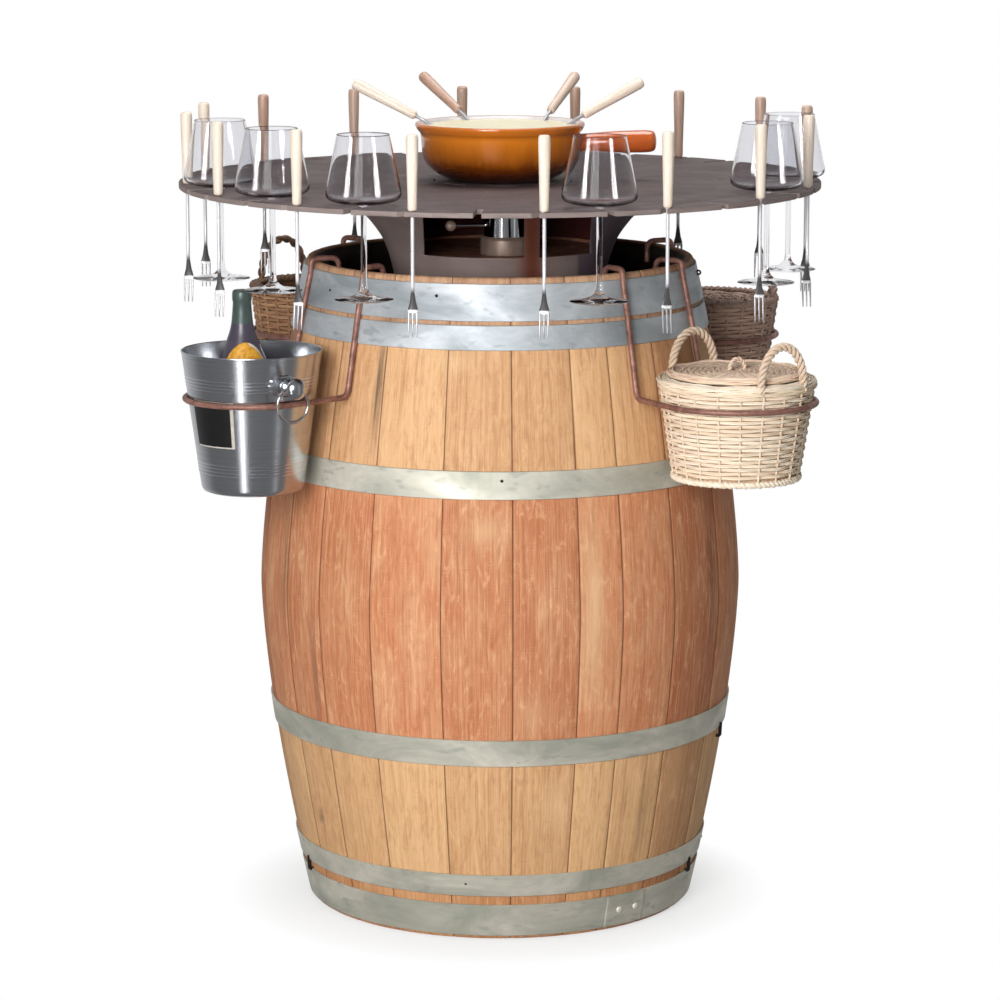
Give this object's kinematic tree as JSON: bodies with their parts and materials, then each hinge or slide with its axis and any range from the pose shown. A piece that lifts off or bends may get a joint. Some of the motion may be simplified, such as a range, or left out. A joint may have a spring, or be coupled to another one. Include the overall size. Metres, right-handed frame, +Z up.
{
  "type": "barrel bar with fondue table",
  "caption": "Open oak barrel with a round slotted steel table for forks and stemmed glasses, a fondue pan over a burner, and rod hangers for a wine bucket and baskets.",
  "frame": {"origin": "on the barrel's axis, at the floor", "axes": "+Z up, -Y towards the front, +X to the right seen from the front"},
  "size_m": [0.9264, 0.9236, 1.1949],
  "materials": {
    "barrel_oak": "weathered, dry, stained",
    "galvanised_hoop": "galvanised, dull grey-green",
    "black_board": "matt black stain",
    "table_steel": "dark brown, satin",
    "chrome_trim": "polished",
    "pan_glaze": "glossy glaze, dark at the foot",
    "fondue": "smooth cheese, satin",
    "fork_wood": "bare beech, satin",
    "clear_glass": "clear, polished",
    "rusty_rod": "rusty brown",
    "bucket_steel": "spun, satin",
    "bottle_glass": "dark green-black, glossy",
    "pale_willow": "peeled willow, dry",
    "dark_willow": "steamed willow, dry",
    "fork_steel": "polished steel",
    "label_paper": "matt print"
  },
  "bodies": {
    "barrel": {"staves_front": "barrel_oak", "staves_front_right": "barrel_oak", "staves_right": "barrel_oak", "staves_rear_right": "barrel_oak", "staves_rear": "barrel_oak", "staves_rear_left": "barrel_oak", "staves_left": "barrel_oak", "staves_front_left": "barrel_oak", "hoop_chime": "galvanised_hoop", "hoop_upper": "galvanised_hoop", "hoop_upper_bilge": "galvanised_hoop", "hoop_lower_bilge": "galvanised_hoop", "hoop_lower": "galvanised_hoop", "hoop_foot": "galvanised_hoop", "bottom_head": "barrel_oak", "table_pedestal": "black_board"},
    "table": {"table_plate": "table_steel", "stand": "table_steel", "burner_tray": "table_steel"},
    "burner": {"burner": "chrome_trim"},
    "pan": {"pan": "pan_glaze", "fondue": "fondue"},
    "pan_fork_left": {"pan_fork_left": "fork_wood"},
    "pan_fork_rear_left": {"pan_fork_rear_left": "fork_wood"},
    "pan_fork_rear_right": {"pan_fork_rear_right": "fork_wood"},
    "pan_fork_right": {"pan_fork_right": "fork_wood"},
    "fork_01": {"fork_01": "fork_wood"},
    "fork_02": {"fork_02": "fork_wood"},
    "fork_03": {"fork_03": "fork_wood"},
    "fork_04": {"fork_04": "fork_wood"},
    "fork_05": {"fork_05": "fork_wood"},
    "fork_06": {"fork_06": "fork_wood"},
    "fork_07": {"fork_07": "fork_wood"},
    "fork_08": {"fork_08": "fork_wood"},
    "fork_09": {"fork_09": "fork_wood"},
    "fork_10": {"fork_10": "fork_wood"},
    "fork_11": {"fork_11": "fork_wood"},
    "fork_12": {"fork_12": "fork_wood"},
    "fork_13": {"fork_13": "fork_wood"},
    "fork_14": {"fork_14": "fork_wood"},
    "fork_15": {"fork_15": "fork_wood"},
    "fork_16": {"fork_16": "fork_wood"},
    "glass_left": {"glass_left": "clear_glass"},
    "glass_front_left": {"glass_front_left": "clear_glass"},
    "glass_front_centre": {"glass_front_centre": "clear_glass"},
    "glass_front_right": {"glass_front_right": "clear_glass"},
    "glass_right": {"glass_right": "clear_glass"},
    "glass_far_right": {"glass_far_right": "clear_glass"},
    "hanger_bucket": {"hanger_bucket": "rusty_rod"},
    "bucket": {"bucket": "bucket_steel"},
    "hanger_basket_front": {"hanger_basket_front": "rusty_rod"},
    "basket_front": {"basket_front": "pale_willow"},
    "hanger_basket_rear_right": {"hanger_basket_rear_right": "rusty_rod"},
    "basket_rear_right": {"basket_rear_right": "dark_willow"},
    "hanger_basket_rear_left": {"hanger_basket_rear_left": "rusty_rod"},
    "basket_rear_left": {"basket_rear_left": "dark_willow"},
    "basket_lid": {"basket_lid": "pale_willow"},
    "bottle": {"bottle": "bottle_glass"},
    "bucket_ring_front": {"bucket_ring_front": "chrome_trim"},
    "bucket_ring_rear": {"bucket_ring_rear": "chrome_trim"}
  },
  "joints": [
    {"name": "table_lift", "type": "slide", "parent": "barrel", "child": "table", "axis": [0, 0, 1], "range_m": [0, 0.08]},
    {"name": "burner_slide", "type": "slide", "parent": "table", "child": "burner", "axis": [-0.3907, -0.9205, 0], "range_m": [0, 0.05]},
    {"name": "pan_lift", "type": "slide", "parent": "table", "child": "pan", "axis": [0, 0, 1], "range_m": [0, 0.12]},
    {"name": "pan_fork_left_pull", "type": "slide", "parent": "pan", "child": "pan_fork_left", "axis": [-0.88, 0.1394, 0.454], "range_m": [0, 0.06]},
    {"name": "pan_fork_rear_left_pull", "type": "slide", "parent": "pan", "child": "pan_fork_rear_left", "axis": [-0.5375, 0.7107, 0.454], "range_m": [0, 0.06]},
    {"name": "pan_fork_rear_right_pull", "type": "slide", "parent": "pan", "child": "pan_fork_rear_right", "axis": [0.3794, 0.8062, 0.454], "range_m": [0, 0.06]},
    {"name": "pan_fork_right_pull", "type": "slide", "parent": "pan", "child": "pan_fork_right", "axis": [0.8409, 0.2945, 0.454], "range_m": [0, 0.06]},
    {"name": "fork_01_slide", "type": "slide", "parent": "table", "child": "fork_01", "axis": [-0.6756, -0.7373, 0], "range_m": [0, 0.03]},
    {"name": "fork_02_slide", "type": "slide", "parent": "table", "child": "fork_02", "axis": [-0.342, -0.9397, 0], "range_m": [0, 0.03]},
    {"name": "fork_03_slide", "type": "slide", "parent": "table", "child": "fork_03", "axis": [0.0436, -0.999, 0], "range_m": [0, 0.03]},
    {"name": "fork_04_slide", "type": "slide", "parent": "table", "child": "fork_04", "axis": [0.4226, -0.9063, 0], "range_m": [0, 0.03]},
    {"name": "fork_05_slide", "type": "slide", "parent": "table", "child": "fork_05", "axis": [0.7373, -0.6756, 0], "range_m": [0, 0.03]},
    {"name": "fork_06_slide", "type": "slide", "parent": "table", "child": "fork_06", "axis": [0.9397, -0.342, 0], "range_m": [0, 0.03]},
    {"name": "fork_07_slide", "type": "slide", "parent": "table", "child": "fork_07", "axis": [0.999, 0.0436, 0], "range_m": [0, 0.03]},
    {"name": "fork_08_slide", "type": "slide", "parent": "table", "child": "fork_08", "axis": [0.9063, 0.4226, 0], "range_m": [0, 0.03]},
    {"name": "fork_09_slide", "type": "slide", "parent": "table", "child": "fork_09", "axis": [0.6756, 0.7373, 0], "range_m": [0, 0.03]},
    {"name": "fork_10_slide", "type": "slide", "parent": "table", "child": "fork_10", "axis": [0.342, 0.9397, 0], "range_m": [0, 0.03]},
    {"name": "fork_11_slide", "type": "slide", "parent": "table", "child": "fork_11", "axis": [-0.0436, 0.999, 0], "range_m": [0, 0.03]},
    {"name": "fork_12_slide", "type": "slide", "parent": "table", "child": "fork_12", "axis": [-0.4226, 0.9063, 0], "range_m": [0, 0.03]},
    {"name": "fork_13_slide", "type": "slide", "parent": "table", "child": "fork_13", "axis": [-0.7373, 0.6756, 0], "range_m": [0, 0.03]},
    {"name": "fork_14_slide", "type": "slide", "parent": "table", "child": "fork_14", "axis": [-0.9397, 0.342, 0], "range_m": [0, 0.03]},
    {"name": "fork_15_slide", "type": "slide", "parent": "table", "child": "fork_15", "axis": [-0.999, -0.0436, 0], "range_m": [0, 0.03]},
    {"name": "fork_16_slide", "type": "slide", "parent": "table", "child": "fork_16", "axis": [-0.9063, -0.4226, 0], "range_m": [0, 0.03]},
    {"name": "glass_left_slide", "type": "slide", "parent": "table", "child": "glass_left", "axis": [-0.9469, -0.3214, 0], "range_m": [0, 0.06]},
    {"name": "glass_front_left_slide", "type": "slide", "parent": "table", "child": "glass_front_left", "axis": [-0.7518, -0.6593, 0], "range_m": [0, 0.06]},
    {"name": "glass_front_centre_slide", "type": "slide", "parent": "table", "child": "glass_front_centre", "axis": [-0.4423, -0.8969, 0], "range_m": [0, 0.06]},
    {"name": "glass_front_right_slide", "type": "slide", "parent": "table", "child": "glass_front_right", "axis": [0.3214, -0.9469, 0], "range_m": [0, 0.06]},
    {"name": "glass_right_slide", "type": "slide", "parent": "table", "child": "glass_right", "axis": [0.8969, -0.4423, 0], "range_m": [0, 0.06]},
    {"name": "glass_far_right_slide", "type": "slide", "parent": "table", "child": "glass_far_right", "axis": [0.9979, -0.0654, 0], "range_m": [0, 0.06]},
    {"name": "hanger_bucket_shift", "type": "hinge", "parent": "barrel", "child": "hanger_bucket", "pos_m": [0, 0, 0.943], "axis": [0, 0, 1], "range_deg": [-3, 3]},
    {"name": "bucket_lift", "type": "slide", "parent": "hanger_bucket", "child": "bucket", "axis": [0, 0, 1], "range_m": [0, 0.025]},
    {"name": "hanger_basket_front_shift", "type": "hinge", "parent": "barrel", "child": "hanger_basket_front", "pos_m": [0, 0, 0.943], "axis": [0, 0, 1], "range_deg": [-3, 3]},
    {"name": "basket_front_lift", "type": "slide", "parent": "hanger_basket_front", "child": "basket_front", "axis": [0, 0, 1], "range_m": [0, 0.015]},
    {"name": "hanger_basket_rear_right_shift", "type": "hinge", "parent": "barrel", "child": "hanger_basket_rear_right", "pos_m": [0, 0, 0.943], "axis": [0, 0, 1], "range_deg": [-3, 3]},
    {"name": "basket_rear_right_lift", "type": "slide", "parent": "hanger_basket_rear_right", "child": "basket_rear_right", "axis": [0, 0, 1], "range_m": [0, 0.012]},
    {"name": "hanger_basket_rear_left_shift", "type": "hinge", "parent": "barrel", "child": "hanger_basket_rear_left", "pos_m": [0, 0, 0.943], "axis": [0, 0, 1], "range_deg": [-3, 3]},
    {"name": "basket_rear_left_lift", "type": "slide", "parent": "hanger_basket_rear_left", "child": "basket_rear_left", "axis": [0, 0, 1], "range_m": [0, 0.012]},
    {"name": "basket_lid_lift", "type": "slide", "parent": "basket_front", "child": "basket_lid", "axis": [0, 0, 1], "range_m": [0, 0.025]},
    {"name": "bottle_lift", "type": "slide", "parent": "bucket", "child": "bottle", "axis": [0, 0, 1], "range_m": [0, 0.03]},
    {"name": "bucket_ring_front_swing", "type": "hinge", "parent": "bucket", "child": "bucket_ring_front", "pos_m": [-0.28285, -0.34582, 0.8], "axis": [-0.8572, -0.515, 0], "range_deg": [0, 90]},
    {"name": "bucket_ring_rear_swing", "type": "hinge", "parent": "bucket", "child": "bucket_ring_rear", "pos_m": [-0.40708, -0.13907, 0.8], "axis": [0.8572, 0.515, 0], "range_deg": [0, 90]}
  ]
}
